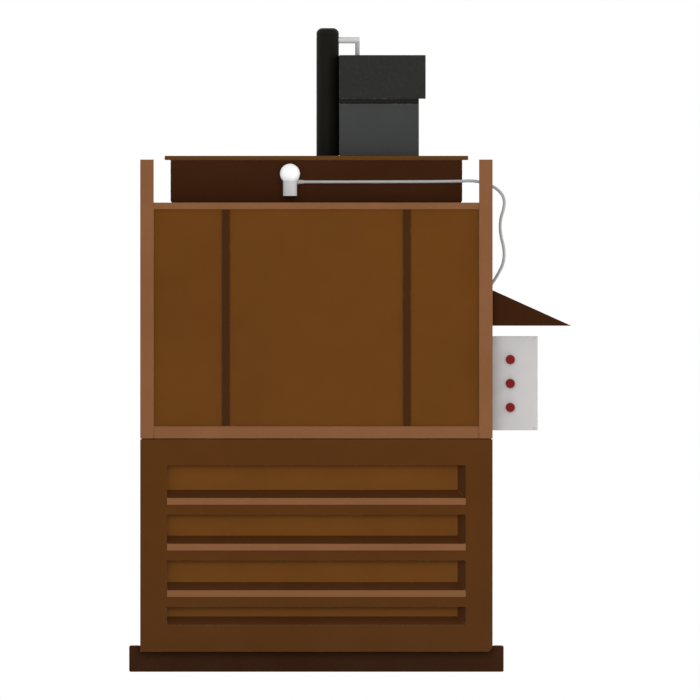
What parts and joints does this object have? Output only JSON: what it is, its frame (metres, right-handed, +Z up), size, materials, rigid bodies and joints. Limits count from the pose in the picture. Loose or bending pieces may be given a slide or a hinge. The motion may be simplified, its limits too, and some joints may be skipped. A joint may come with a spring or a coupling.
{
  "type": "recycling baler",
  "caption": "Vertical recycling baler: ribbed press chamber with sliding feed gate, hinged bale door, telescopic ram, power unit, signal lamp and control box.",
  "frame": {"origin": "centre of the base frame's underside, on the floor", "axes": "+Z up, front (gate and bale door) towards -Y, +X to the operator's right"},
  "size_m": [1.769, 0.895, 2.575],
  "materials": {
    "base_brown": "satin",
    "door_brown": "satin",
    "panel_brown": "satin",
    "rib_brown": "satin",
    "rail_tan": "satin",
    "top_brown": "satin",
    "cylinder_black": "satin",
    "cover_grey": "satin",
    "lid_grey": "satin",
    "tank_grey": "satin",
    "pipe_grey": "satin",
    "motor_paint": "satin",
    "bare_steel": "brushed",
    "zinc": "satin",
    "nylon": "matte",
    "lamp_white": "matte",
    "box_grey": "matte",
    "cable_grey": "matte",
    "button_red": "gloss",
    "black_plastic": "matte"
  },
  "bodies": {
    "frame": {"back_wall": "door_brown", "base_beam_back": "base_brown", "base_beam_front": "base_brown", "base_beam_left": "base_brown", "base_beam_middle": "base_brown", "base_beam_right": "base_brown", "button_bezels": "black_plastic", "contact_blocks": "black_plastic", "control_box": "box_grey", "control_cover": "box_grey", "control_hood": "base_brown", "cover_screws": "zinc", "cylinder_bolts": "zinc", "cylinder_bridge": "base_brown", "feed_header": "door_brown", "feed_sill": "door_brown", "floor_plate": "bare_steel", "front_post_left": "door_brown", "front_post_right": "door_brown", "gate_rail_left": "rail_tan", "gate_rail_right": "rail_tan", "head_back_plate": "base_brown", "head_end_plate_left": "base_brown", "head_end_plate_right": "base_brown", "head_front_plate": "base_brown", "head_top_plate": "top_brown", "hinge_brackets": "door_brown", "hinge_pins": "zinc", "lamp_cable": "cable_grey", "lamp_globe": "lamp_white", "lamp_socket": "box_grey", "motor": "motor_paint", "motor_cover": "cover_grey", "oil_tank": "tank_grey", "pressure_pipe": "pipe_grey", "pump": "motor_paint", "ram_cylinder": "cylinder_black", "side_wall_left": "door_brown", "side_wall_right": "door_brown", "tank_lid": "lid_grey", "top_beam_back": "door_brown", "top_beam_front": "door_brown"},
    "gate": {"gate_frame": "rail_tan", "gate_panel": "panel_brown", "gate_ribs": "rib_brown"},
    "bale_door": {"door_skin": "door_brown", "door_pans": "panel_brown", "door_bars": "rail_tan", "door_frame": "door_brown"},
    "platen": {"platen_plate": "door_brown", "platen_frame": "door_brown", "guide_shoes_left": "nylon", "guide_shoes_right": "nylon", "ram_rod": "bare_steel", "rod_bolts": "zinc"},
    "ram_tube": {"ram_stage": "bare_steel"},
    "rotor": {"motor_rotor": "black_plastic"},
    "top_button": {"button_top": "button_red"},
    "middle_button": {"button_middle": "button_red"},
    "bottom_button": {"button_bottom": "button_red"}
  },
  "joints": [
    {"name": "gate_slide", "type": "slide", "parent": "frame", "child": "gate", "axis": [0, 0, 1], "range_m": [0, 0.6]},
    {"name": "bale_door_hinge", "type": "hinge", "parent": "frame", "child": "bale_door", "pos_m": [-0.6848, -0.455, 0.505], "axis": [0, 0, -1], "range_deg": [0, 109]},
    {"name": "platen_slide", "type": "slide", "parent": "frame", "child": "platen", "axis": [0, 0, -1], "range_m": [0, 0.9]},
    {"name": "ram_tube_slide", "type": "slide", "parent": "frame", "child": "ram_tube", "axis": [0, 0, -1], "range_m": [0, 0.45]},
    {"name": "motor_spin", "type": "hinge", "parent": "frame", "child": "rotor", "pos_m": [0.354, -0.027, 2.372], "axis": [1, 0, 0], "continuous": true},
    {"name": "top_button_press", "type": "slide", "parent": "frame", "child": "top_button", "axis": [0, 1, 0], "range_m": [0, 0.005], "stiffness_N_per_m": 400},
    {"name": "middle_button_press", "type": "slide", "parent": "frame", "child": "middle_button", "axis": [0, 1, 0], "range_m": [0, 0.005], "stiffness_N_per_m": 400},
    {"name": "bottom_button_press", "type": "slide", "parent": "frame", "child": "bottom_button", "axis": [0, 1, 0], "range_m": [0, 0.005], "stiffness_N_per_m": 400}
  ],
  "couplings": [
    {"joint": "ram_tube_slide", "follows": "platen_slide", "ratio": 0.5}
  ]
}
